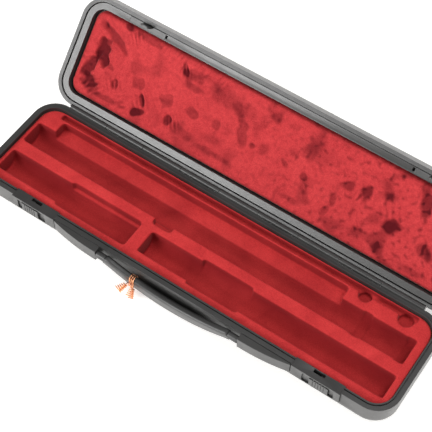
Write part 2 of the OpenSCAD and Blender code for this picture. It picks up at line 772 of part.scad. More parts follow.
module lid_rim_frame() {
    boss_t = 4.4;
    color(shell_black) difference() {
        union() {
            opened() translate([0, 0, base_h])
                ring_sweep(case_l, case_w, corner_r) polygon(frame_section());
            for (side = [-1, 1]) at_catch(side)
                translate([-catch_l / 2, frame_off + 0.1, frame_drop + frame_t - 0.2])
                    cube([catch_l, catch_w + 0.2, boss_t]);
        }
        for (side = [-1, 1]) at_catch(side) {
            translate([-catch_l / 2 - fit_gap, frame_off - 1, frame_drop - 1])
                cube([catch_l + 2 * fit_gap, catch_w + 1 + fit_gap, 1 + catch_t + bore_gap]);
            // Slot at the plate's inner end
            translate([-catch_l / 2 - catch_slot_w, frame_off + 0.8, frame_drop - 1])
                cube([catch_slot_w, frame_w - skirt_t - 0.9, frame_t + 2]);
            for (s = [-1, 1]) translate([s * catch_hole_x, frame_off + catch_w / 2, frame_drop])
                cylinder(r = peg_r + bore_gap, h = 7);
        }
    }
}

module lid_backing_board() {
    color("saddlebrown") opened() translate([0, 0, base_h + board_bottom])
        inset_plate(board_off, board_t);
}

module lid_foam_pad() {
    color("dimgray") opened() translate([0, 0, base_h + pad_bottom])
        inset_plate(pad_off, foam_t - fit_gap);
}

// Plush lining: a crowned pad with soft folds and one deep dent near its left end
plush_nx = 50;
plush_ny = 16;
plush_edge_h = plush_crown - 0.6;
dent_d = 3;
plush_a = case_l / 2 - plush_off;
plush_b = case_w / 2 - plush_off;
plush_r = max(corner_r - plush_off, 4);
function bell(x, y, cx, cy, wx, wy) = exp(-pow((x - cx) / wx, 2) - pow((y - cy) / wy, 2));
function folds(x, y) = 0.5 * sin(x * 5.1 + 40 * sin(y * 3.3)) * cos(y * 4.2 + 25 * sin(x * 2.1))
    + 0.35 * sin(x * 9.4 - y * 6.1);
function plush_h(u, v, x, y) =
    max(0.3, plush_edge_h * (1 - pow(abs(u), 90)) * (1 - pow(abs(v), 26))
        + (plush_crown - plush_edge_h) * (1 - pow(abs(u), 14)) * (1 - pow(abs(v), 3))
        + folds(x, y) * (1 - pow(abs(v), 4)) * (1 - pow(abs(u), 20)) * 0.8
        - dent_d * bell(x, y, -plush_a + 19, 6, 6, 15)
        - dent_d / 2 * bell(x, y, -plush_a + 34, -22, 4, 8)
        - dent_d / 2 * bell(x, y, plush_a / 3, -14, 14, 9));
plush_top = [for (j = [0 : plush_ny], i = [0 : plush_nx]) let (
    v = sin(90 * (-1 + 2 * j / plush_ny)),
    u = i == 0 || i == plush_nx ? sign(i - 1) : (-1 + 2 * i / plush_nx) * 1.03,
    y = plush_b * v,
    dy = max(0, abs(y) - (plush_b - plush_r)),
    x = u * (plush_a - plush_r + sqrt(max(0, pow(plush_r, 2) - pow(dy, 2)))))
    [x, y, -plush_h(u, v, x, y)]];
plush_edge = concat([for (i = [0 : plush_nx - 1]) i],
    [for (j = [0 : plush_ny - 1]) plush_nx + j * (plush_nx + 1)],
    [for (i = [plush_nx : -1 : 1]) plush_ny * (plush_nx + 1) + i],
    [for (j = [plush_ny : -1 : 1]) j * (plush_nx + 1)]);

module lid_plush_lining() {
    n = len(plush_top);
    m = len(plush_edge);
    row = plush_nx + 1;
    back = [for (k = plush_edge) [plush_top[k][0], plush_top[k][1], 0]];
    front = [for (j = [0 : plush_ny - 1], i = [0 : plush_nx - 1]) let (a = j * row + i) each
        [[a, a + 1, a + row + 1], [a, a + row + 1, a + row]]];
    rim = [for (k = [0 : m - 1]) let (a = plush_edge[k], b = plush_edge[(k + 1) % m],
        c = n + k, d = n + (k + 1) % m) each [[a, c, d], [a, d, b]]];
    fan = [for (k = [0 : m - 1]) [n + m, n + (k + 1) % m, n + k]];
    color(plush_red) opened() translate([0, 0, base_h + pad_bottom - fit_gap])
        polyhedron(concat(plush_top, back, [[0, 0, 0]]), concat(front, rim, fan),
                   convexity = 10);
}

module catch_plate(side) {
    w = hook_w / 2;
    foot_top = hook_foot_z + hook_foot_h;
    color(trim_black) at_catch(side) {
        translate([-catch_l / 2, frame_off + 0.1, frame_drop])
            cube([catch_l, catch_w - 0.1, catch_t]);
        // Pegs that hold the plate in the lid's frame
        for (s = [-1, 1])
            translate([s * catch_hole_x, frame_off + catch_w / 2, frame_drop + catch_t - 0.1])
                cylinder(r = peg_r, h = peg_l);
        // Hook with a notch on its outer side and a ramp under its foot
        translate([0, hook_in + hook_t / 2, 0]) rotate([90, 0, 0]) linear_extrude(hook_t)
            polygon([[-w, frame_drop + 0.5], [w, frame_drop + 0.5], [w, hook_notch_z],
                     [w - hook_foot_w, hook_notch_z], [w - hook_foot_w, foot_top],
                     [w, foot_top], [w - hook_foot_w, hook_foot_z], [1 - w, hook_foot_z],
                     [-w, hook_foot_z + 1]]);
    }
}

base_shell();
hinge_pin();
core_block("body");  // insert_body_block
core_block("rail");  // insert_back_rail
core_block("rod_end");  // insert_rod_block
core_block("foot");  // insert_foot_block
core_block("head");  // insert_head_block
insert_velvet();
latch_housing(-1);  // latch_left_housing
latch_housing(1);  // latch_right_housing
latch_slider(-1);  // latch_left_slider
latch_slider(1);  // latch_right_slider
latch_spring(-1);  // latch_left_spring
latch_spring(1);  // latch_right_spring
latch_screws(-1);  // latch_left_screws
latch_screws(1);  // latch_right_screws
handle_bracket(-1);  // handle_left_bracket
handle_bracket(1);  // handle_right_bracket
bracket_screw_pair(-1);  // bracket_left_screws
bracket_screw_pair(1);  // bracket_right_screws
handle_pin(-1);  // handle_left_pin
handle_pin(1);  // handle_right_pin
handle_grip();
handle_tie();
lid_shell();
lid_rim_frame();
lid_backing_board();
lid_foam_pad();
lid_plush_lining();
catch_plate(-1);  // catch_left_plate
catch_plate(1);  // catch_right_plate
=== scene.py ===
import math
import bpy
import bmesh
from mathutils import Matrix, Vector, noise


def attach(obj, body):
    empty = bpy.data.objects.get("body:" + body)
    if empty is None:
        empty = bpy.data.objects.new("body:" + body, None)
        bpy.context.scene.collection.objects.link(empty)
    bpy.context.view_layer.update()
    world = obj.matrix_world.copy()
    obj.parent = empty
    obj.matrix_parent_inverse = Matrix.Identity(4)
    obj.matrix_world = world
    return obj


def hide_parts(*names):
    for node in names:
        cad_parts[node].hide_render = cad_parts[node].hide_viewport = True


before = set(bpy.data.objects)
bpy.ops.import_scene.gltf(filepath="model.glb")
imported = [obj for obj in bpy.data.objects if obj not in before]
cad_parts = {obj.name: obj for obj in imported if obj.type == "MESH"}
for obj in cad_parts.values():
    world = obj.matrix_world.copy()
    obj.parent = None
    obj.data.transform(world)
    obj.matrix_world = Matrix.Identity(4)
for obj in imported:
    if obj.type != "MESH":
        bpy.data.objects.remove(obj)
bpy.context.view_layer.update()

print("frame loaded")
scene = bpy.context.scene
noise.seed_set(7)  # unseeded, noise vectors start from the clock and the folds change each run

# The measures that several pieces share, in metres
case = {
    "baseHeight": 0.025,
    "hingeY": 0.04905,
    "lidAngle": math.radians(-132.5),
}
mm = 0.001


def lidPoint(x, y, z):
    # turns a point of the shut lid, z above the seam, to the open lid
    dy, c, s = y - case["hingeY"], math.cos(case["lidAngle"]), math.sin(case["lidAngle"])
    return Vector((x, case["hingeY"] + dy * c - z * s, case["baseHeight"] + dy * s + z * c))


def clamped(value):
    return min(max(value, 0.0), 1.0)


def grey(v, tint=(1, 1, 1)):
    return (v * tint[0], v * tint[1], v * tint[2], 1)


def setStops(colorRamp, stops):
    # the first and last stop take the ramp's own two, the others are added between them
    marks = colorRamp.elements
    marks[0].position, marks[0].color = stops[0]
    marks[1].position, marks[1].color = stops[-1]
    for at, colour in stops[1:-1]:
        marks.new(at).color = colour


# Place in metres, angles in degrees, roll to the right
cameraSet = {
    "location": (0.2826, -0.4110, 0.8343),
    "azimuth": 33.497, "elevation": 56.975, "roll": 1.051,
    "focalPixels": 1211.2, "imagePixels": 432, "sensor": 36,
    "clip": (0.01, 20),
}


def makeCamera(c):
    az, el, roll = (math.radians(c[k]) for k in ("azimuth", "elevation", "roll"))
    back = Vector((math.sin(az) * math.cos(el), -math.cos(az) * math.cos(el), math.sin(el)))
    level = Vector((0, 0, 1)).cross(back).normalized()
    upright = back.cross(level)
    right = math.cos(roll) * level + math.sin(roll) * upright
    up = -math.sin(roll) * level + math.cos(roll) * upright
    data = bpy.data.cameras.new("photoCamera")
    data.sensor_width = c["sensor"]
    data.lens = c["focalPixels"] / c["imagePixels"] * c["sensor"]
    data.clip_start, data.clip_end = c["clip"]
    cam = bpy.data.objects.new("photoCamera", data)
    scene.collection.objects.link(cam)
    m = Matrix((right, up, back)).transposed().to_4x4()
    m.translation = Vector(c["location"])
    cam.matrix_world = m
    scene.camera = cam


makeCamera(cameraSet)

lightSet = {
    "softbox": {"size": (0.85, 0.7), "power": 27, "at": (-0.81, -1.40, 0.79), "aim": (0, 0, 0.02)},
    "fill": {"size": (0.8, 0.8), "power": 13, "at": (0.6, 0.35, 1.7), "aim": (0, 0, 0.02)},
    # the room's height on the sky, 0 at the horizon, with its brightness there
    "room": ((0.0, 0.9), (0.45, 0.6), (0.9, 0.33)),
    "tint": (1, 0.985, 0.965, 1),
}


def makeSoftbox(name, s):
    data = bpy.data.lights.new(name, "AREA")
    data.shape = "RECTANGLE"
    data.size, data.size_y = s["size"]
    data.energy = s["power"]
    lamp = bpy.data.objects.new(name, data)
    scene.collection.objects.link(lamp)
    lamp.location = s["at"]
    lamp.rotation_euler = (Vector(s["at"]) - Vector(s["aim"])).to_track_quat("Z", "Y").to_euler()


def makeWorld(l):
    # a pale room, brighter near the horizon than overhead
    world = bpy.data.worlds.new("studio")
    scene.world = world
    world.use_nodes = True
    tree = world.node_tree
    sky = tree.nodes["Background"]
    sky.inputs["Color"].default_value = l["tint"]
    place = tree.nodes.new("ShaderNodeTexCoord")
    split = tree.nodes.new("ShaderNodeSeparateXYZ")
    tree.links.new(place.outputs["Generated"], split.inputs[0])
    band = tree.nodes.new("ShaderNodeValToRGB")
    setStops(band.color_ramp, [(height, grey(level)) for height, level in l["room"]])
    tree.links.new(split.outputs["Z"], band.inputs["Fac"])
    tree.links.new(band.outputs["Color"], sky.inputs["Strength"])


makeSoftbox("softbox", lightSet["softbox"])
makeSoftbox("fillBox", lightSet["fill"])
makeWorld(lightSet)
scene.view_settings.view_transform = "Standard"
print("camera and lights made")


class Shade:
    # one material and the nodes that feed it

    def __init__(self, name, roughness, specular=0.5):
        self.mat = bpy.data.materials.new(name)
        self.mat.use_nodes = True
        self.tree = self.mat.node_tree
        self.bsdf = self.tree.nodes["Principled BSDF"]
        self.bsdf.inputs["Roughness"].default_value = roughness
        self.bsdf.inputs["Specular IOR Level"].default_value = specular
        self.coords = self.tree.nodes.new("ShaderNodeTexCoord").outputs["Object"]

    def node(self, kind, **inputs):
        n = self.tree.nodes.new(kind)
        for key, value in inputs.items():
            self.feed(n, key.replace("_", " "), value)
        return n

    def feed(self, n, key, value):
        if isinstance(value, bpy.types.NodeSocket):
            self.tree.links.new(value, n.inputs[key])
        else:
            n.inputs[key].default_value = value

    def painted(self, name):
        n = self.tree.nodes.new("ShaderNodeAttribute")
        n.attribute_name = name
        return n.outputs["Fac"]

    def stretched(self, scale):
        return self.node("ShaderNodeMapping", Vector=self.coords, Scale=scale).outputs["Vector"]

    def noise(self, scale, detail=3, rough=0.5, distort=0.0, at=None):
        n = self.node("ShaderNodeTexNoise", Vector=at or self.coords, Scale=scale, Detail=detail,
                      Roughness=rough, Distortion=distort)
        return n.outputs["Fac"]

    def ramp(self, fac, stops):
        n = self.node("ShaderNodeValToRGB", Fac=fac)
        setStops(n.color_ramp, stops)
        return n.outputs["Color"]

    def mixed(self, fac, a, b):
        n = self.tree.nodes.new("ShaderNodeMix")
        n.data_type = "RGBA"
        # a colour mix keeps its share in socket 0, its colours in 6 and 7 and its result in 2
        for socket, value in ((0, fac), (6, a), (7, b)):
            self.feed(n, socket, value)
        return n.outputs[2]

    def math(self, op, a, b=0.0):
        n = self.tree.nodes.new("ShaderNodeMath")
        n.operation = op
        self.feed(n, 0, a)
        self.feed(n, 1, b)
        return n.outputs[0]

    def bump(self, height, strength, distance, after=None):
        n = self.node("ShaderNodeBump", Height=height, Strength=strength, Distance=distance)
        if after:
            self.tree.links.new(after, n.inputs["Normal"])
        return n.outputs["Normal"]

    def sheen(self, weight, roughness, tint):
        self.bsdf.inputs["Sheen Weight"].default_value = weight
        self.bsdf.inputs["Sheen Roughness"].default_value = roughness
        self.bsdf.inputs["Sheen Tint"].default_value = tint

    def finish(self, colour, rough=None, normal=None):
        self.feed(self.bsdf, "Base Color", colour)
        if rough:
            self.feed(self.bsdf, "Roughness", rough)
        if normal:
            self.feed(self.bsdf, "Normal", normal)
        return self.mat


# Noise scales are per metre, depths of the bumps in metres
plasticLook = {
    "tint": (1.0, 0.985, 0.97), "cloud": 38,
    "scuffStretch": (30, 900, 900), "scuffShare": 0.10, "scuffTone": 2.4,
    "marks": 120, "glossier": 0.06, "duller": 0.08,
    "grain": 2600, "grainDepth": 0.00012,
}


def mouldedPlastic(name, low, high, roughness, grain):
    # dark moulded plastic: fine spark-eroded grain, faint handling marks and scuffs
    p = plasticLook
    s = Shade(name, roughness)
    cloud = s.noise(p["cloud"], detail=4, rough=0.6)
    colour = s.ramp(cloud, [(0.3, grey(low, p["tint"])), (0.7, grey(high, p["tint"]))])
    scratches = s.noise(1, detail=3, rough=0.7, distort=0.2, at=s.stretched(p["scuffStretch"]))
    scuff = s.ramp(scratches, [(0.62, grey(0)), (0.75, grey(1))])
    colour = s.mixed(s.math("MULTIPLY", scuff, p["scuffShare"]), colour,
                     grey(high * p["scuffTone"], p["tint"]))
    rough = s.node("ShaderNodeMapRange", Value=s.noise(p["marks"], detail=4, rough=0.65),
                   To_Min=roughness - p["glossier"], To_Max=roughness + p["duller"])
    normal = s.bump(s.noise(p["grain"], detail=2, rough=0.6), grain, p["grainDepth"])
    return s.finish(colour, rough.outputs["Result"], normal)


velvetLook = {
    "sheen": (0.35, 0.35, (1.0, 0.34, 0.32, 1)),
    "nap": 55, "napDepth": 0.001, "grain": 1500, "grainDepth": 0.0003, "grainShare": 0.45,
    "brushed": ((0.3, (0.42, 0.020, 0.024, 1)), (0.5, (0.54, 0.032, 0.034, 1)),
                (0.72, (0.64, 0.046, 0.046, 1))),
    "fibres": ((0.3, (0.26, 0.008, 0.012, 1)), (0.72, (0.80, 0.07, 0.068, 1))),
    "shaded": (0.15, 0.004, 0.007, 1),
}


def flockedVelvet(v):
    # short nap: fine grain, patches brushed one way and the other, and painted shade on the walls and
    # deep in the recesses
    s = Shade("flockedVelvet", roughness=0.85, specular=0.12)
    s.sheen(*v["sheen"])
    nap = s.noise(v["nap"], detail=5, rough=0.6, distort=0.6)
    grain = s.noise(v["grain"], detail=3, rough=0.75)
    colour = s.mixed(v["grainShare"], s.ramp(nap, v["brushed"]), s.ramp(grain, v["fibres"]))
    # painted shade: the shaded colour takes over where the nap attribute is low, on walls and deep down
    colour = s.mixed(s.painted("nap"), v["shaded"], colour)
    waves = s.bump(nap, 0.25, v["napDepth"])
    return s.finish(colour, normal=s.bump(grain, 0.6, v["grainDepth"], after=waves))


plushLook = {
    "sheen": (0.4, 0.3, (1.0, 0.42, 0.38, 1)),
    "cloud": 34, "fleck": 330, "fleckDepth": 0.0008, "fleckShare": 0.45,
    "pile": 1300, "pileDepth": 0.0004, "pileShare": 0.35,
    "crushed": ((0.33, (0.28, 0.010, 0.015, 1)), (0.45, (0.42, 0.022, 0.027, 1)),
                (0.62, (0.50, 0.034, 0.038, 1))),
    "flecks": ((0.36, (0.26, 0.008, 0.014, 1)), (0.62, (0.60, 0.050, 0.054, 1))),
    "tips": ((0.32, (0.20, 0.006, 0.010, 1)), (0.7, (0.74, 0.09, 0.09, 1))),
    "shaded": (0.085, 0.002, 0.005, 1),
}


def crushedPlush(p):
    # longer pile: crushed clouds, a gritty sparkle, and painted on the mesh sharp brushed patches
    # together with painted shade and painted light
    s = Shade("crushedPlush", roughness=0.8, specular=0.12)
    s.sheen(*p["sheen"])
    cloud = s.noise(p["cloud"], detail=6, rough=0.62, distort=1.1)
    fleck = s.noise(p["fleck"], detail=4, rough=0.8, distort=0.4)
    pile = s.noise(p["pile"], detail=3, rough=0.85)
    colour = s.mixed(p["fleckShare"], s.ramp(cloud, p["crushed"]), s.ramp(fleck, p["flecks"]))
    colour = s.mixed(p["pileShare"], colour, s.ramp(pile, p["tips"]))
    # painted shade: the shaded colour takes over where the nap attribute is low, in presses, on wrinkle
    # slopes and at the border
    colour = s.mixed(s.painted("nap"), p["shaded"], colour)
    lumps = s.bump(fleck, 0.35, p["fleckDepth"])
    return s.finish(colour, normal=s.bump(pile, 0.7, p["pileDepth"], after=lumps))


metalLook = {
    "steelCloud": 180, "steelGrain": 3000, "steelTint": (1, 0.99, 0.97), "steelDark": 0.8,
    "copperCloud": 420, "copperGrain": 5000, "grainDepth": 0.0001,
    "copper": ((0.3, (0.55, 0.19, 0.07, 1)), (0.5, (0.83, 0.36, 0.17, 1)),
               (0.75, (0.98, 0.55, 0.32, 1))),
}


def platedSteel(name, tone, roughness):
    m = metalLook
    s = Shade(name, roughness)
    s.bsdf.inputs["Metallic"].default_value = 1.0
    colour = s.ramp(s.noise(m["steelCloud"], detail=4, rough=0.6),
                    [(0.3, grey(tone * m["steelDark"])), (0.7, grey(tone, m["steelTint"]))])
    grain = s.bump(s.noise(m["steelGrain"], detail=2), 0.15, m["grainDepth"])
    return s.finish(colour, normal=grain)


def copperWire():
    m = metalLook
    s = Shade("copperWire", roughness=0.3)
    s.bsdf.inputs["Metallic"].default_value = 1.0
    colour = s.ramp(s.noise(m["copperCloud"], detail=4, rough=0.6), m["copper"])
    grain = s.bump(s.noise(m["copperGrain"], detail=2), 0.2, m["grainDepth"])
    return s.finish(colour, normal=grain)


hiddenLook = {
    "cells": 900, "cellDepth": 0.0005,
    "foam": ((0.1, (0.09, 0.09, 0.095, 1)), (0.7, (0.28, 0.28, 0.28, 1))),
    "fibreStretch": (120, 700, 700), "fibreDepth": 0.0003,
}


def foamRubber():
    h = hiddenLook
    s = Shade("foamRubber", roughness=0.95, specular=0.1)
    cells = s.node("ShaderNodeTexVoronoi", Vector=s.coords, Scale=h["cells"]).outputs["Distance"]
    return s.finish(s.ramp(cells, h["foam"]), normal=s.bump(cells, 0.8, h["cellDepth"]))


def pressedFibre(name, dark, light):
    h = hiddenLook
    s = Shade(name, roughness=0.85, specular=0.2)
    fibres = s.noise(1, detail=5, rough=0.7, distort=0.3, at=s.stretched(h["fibreStretch"]))
    colour = s.ramp(fibres, [(0.3, dark), (0.7, light)])
    return s.finish(colour, normal=s.bump(fibres, 0.4, h["fibreDepth"]))


finishes = {
    "shell": mouldedPlastic("shellPlastic", low=0.026, high=0.038, roughness=0.40, grain=0.3),
    "trim": mouldedPlastic("trimPlastic", low=0.022, high=0.032, roughness=0.38, grain=0.25),
    "rim": mouldedPlastic("rimPlastic", low=0.032, high=0.044, roughness=0.32, grain=0.12),
    "velvet": flockedVelvet(velvetLook),
    "plush": crushedPlush(plushLook),
    "steel": platedSteel("zincSteel", tone=0.62, roughness=0.32),
    "spring": platedSteel("springWire", tone=0.45, roughness=0.28),
    "copper": copperWire(),
    "foam": foamRubber(),
    "fibre": pressedFibre("pressedFibre", dark=(0.25, 0.16, 0.09, 1), light=(0.48, 0.34, 0.2, 1)),
    "board": pressedFibre("hardBoard", dark=(0.22, 0.15, 0.09, 1), light=(0.42, 0.31, 0.2, 1)),
}
print("materials made")


def dress(mesh, material):
    mesh.materials.clear()
    mesh.materials.append(material)


def newPiece(name, mesh, material, body):
    piece = bpy.data.objects.new(name, mesh)
    scene.collection.objects.link(piece)
    dress(mesh, material)
    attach(piece, body)
    return piece


def meshFrom(bm, name):
    mesh = bpy.data.meshes.new(name)
    bm.to_mesh(mesh)
    bm.free()
    return mesh


def paint(mesh, values):
    # stores at every vertex, 0 to 1, how light the pile is painted: brushed patches of pile together
    # with painted light and shade
    layer = mesh.attributes.new("nap", "FLOAT", "POINT")
    layer.data.foreach_set("value", [clamped(v) for v in values])


def evaluatedMesh(thing):
    graph = bpy.context.evaluated_depsgraph_get()
    return bpy.data.meshes.new_from_object(thing.evaluated_get(graph))


def applied(piece):
    # keeps the result of the piece's modifiers as its mesh
    mesh, old = evaluatedMesh(piece), piece.data
    piece.modifiers.clear()
    piece.data = mesh
    bpy.data.meshes.remove(old)


# Angles in degrees: faces flatter than "flat" merge, edges sharper than "sharp" are rounded,
# and only those sharper than "crease" still break the shading afterwards
edgeSet = {"weld": 1e-6, "flat": 0.6, "sharp": 32, "crease": 20, "segments": 2}


def joinedCopy(*nodes):
    # one welded mesh of the CAD nodes named
    bm = bmesh.new()
    for node in nodes:
        bm.from_mesh(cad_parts[node].data)
    bmesh.ops.remove_doubles(bm, verts=bm.verts, dist=edgeSet["weld"])
    return bm


def eased(name, node, material, body, edge):
    # a moulded copy of a hard CAD node, with every edge broken by a small round
    bm = joinedCopy(node)
    bmesh.ops.dissolve_limit(bm, angle_limit=math.radians(edgeSet["flat"]),
                             use_dissolve_boundaries=False, verts=bm.verts, edges=bm.edges,
                             delimit={"NORMAL"})
    piece = newPiece(name, meshFrom(bm, name), material, body)
    bevel = piece.modifiers.new("edges", "BEVEL")
    bevel.width = edge
    bevel.segments = edgeSet["segments"]
    bevel.limit_method = "ANGLE"
    bevel.angle_limit = math.radians(edgeSet["sharp"])
    bevel.use_clamp_overlap = True
    bevel.miter_outer = "MITER_SHARP"
    applied(piece)
    piece.data.shade_smooth()
    piece.data.set_sharp_from_angle(angle=math.radians(edgeSet["crease"]))
    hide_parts(node)


# Piece: CAD node, finish, body, slot, width of the rounded edges in metres
easedEdges = {
    "baseTub": ("base_shell", "shell", "base", "shell_plastic", 0.00025),
    "lidCover": ("lid_shell", "shell", "lid", "shell_plastic", 0.00025),
    "lidInnerRim": ("lid_rim_frame", "rim", "lid", "rim_plastic", 0.00025),
    "leftLatchBox": ("latch_left_housing", "trim", "base", "trim_plastic", 0.00022),
    "rightLatchBox": ("latch_right_housing", "trim", "base", "trim_plastic", 0.00022),
    "leftLatchThumb": ("latch_left_slider", "trim", "latch_left", "trim_plastic", 0.00018),
    "rightLatchThumb": ("latch_right_slider", "trim", "latch_right", "trim_plastic", 0.00018),
    "leftShoulder": ("handle_left_bracket", "shell", "base", "shell_plastic", 0.0005),
    "rightShoulder": ("handle_right_bracket", "shell", "base", "shell_plastic", 0.0005),
    "carryBar": ("handle_grip", "shell", "handle", "shell_plastic", 0.0002),
    "leftCatch": ("catch_left_plate", "trim", "lid", "trim_plastic", 0.0001),
    "rightCatch": ("catch_right_plate", "trim", "lid", "trim_plastic", 0.0001),
}
for name, (node, finishName, body, slot, edge) in easedEdges.items():
    eased(name, node, finishes[finishName], body, edge)
print("hard pieces eased")

# CAD nodes that keep their own mesh, nearly all of them out of sight
plainNodes = {
    "hinge_pin": "steel", "latch_left_screws": "steel", "latch_right_screws": "steel",
    "bracket_left_screws": "steel", "bracket_right_screws": "steel",
    "handle_left_pin": "steel", "handle_right_pin": "steel",
    "latch_left_spring": "spring", "latch_right_spring": "spring",
    "insert_body_block": "fibre", "insert_back_rail": "fibre", "insert_rod_block": "fibre",
    "insert_foot_block": "fibre", "insert_head_block": "fibre", "lid_backing_board": "board",
}
for node, finishName in plainNodes.items():
    dress(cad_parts[node].data, finishes[finishName])
print("plain pieces finished")

velvetSet = {
    "voxel": 0.0008, "smooth": 5, "softness": 0.5,
    "ripple": 0.00018, "rippleScale": 90, "rippleDetail": 3,
    # painted light and shade: a dim base on a wall, painted light added on flat cloth, painted shade
    # taken off deep down, and brushed patches of pile at random
    "wallPaintedLight": 0.28, "flatPaintedLight": 0.72, "turnOver": 1.5,
    "deepPaintedShade": 0.14, "top": 0.023, "depth": 0.012,
    "brushed": 0.16, "brushScale": 46,
}


def makeVelvet(v):
    # one skin over the velvet and the blocks under it, so that every recess has soft edges
    bm = joinedCopy("insert_velvet", "insert_body_block", "insert_back_rail", "insert_rod_block",
                    "insert_foot_block", "insert_head_block")
    piece = newPiece("velvetInsert", meshFrom(bm, "velvetInsert"), finishes["velvet"], "base")
    remesh = piece.modifiers.new("skin", "REMESH")
    remesh.mode = "VOXEL"
    remesh.voxel_size = v["voxel"]
    applied(piece)
    soften = piece.modifiers.new("soften", "SMOOTH")
    soften.factor = v["softness"]
    soften.iterations = v["smooth"]
    applied(piece)
    # all slopes are read before the first vertex moves: a moved one makes the next read slow
    slopes = [max(p.normal.z, 0.0) for p in piece.data.vertices]
    # painted shade on the walls and deep in the recesses, painted light on flat tops
    nap = []
    for p, upright in zip(piece.data.vertices, slopes):
        sunk = clamped((v["top"] - p.co.z) / v["depth"])
        brushed = noise.noise(p.co * v["brushScale"]) * v["brushed"]
        nap.append(v["wallPaintedLight"] + v["flatPaintedLight"] * upright ** v["turnOver"] - v["deepPaintedShade"] * sunk
                   + brushed)
        wave = noise.fractal(p.co * v["rippleScale"], 1.0, 2.0, v["rippleDetail"]) * v["ripple"]
        p.co.z += min(wave, 0.0)
    paint(piece.data, nap)
    dress(piece.data, finishes["velvet"])
    piece.data.shade_smooth()
    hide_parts("insert_velvet")


makeVelvet(velvetSet)
print("velvet insert made")

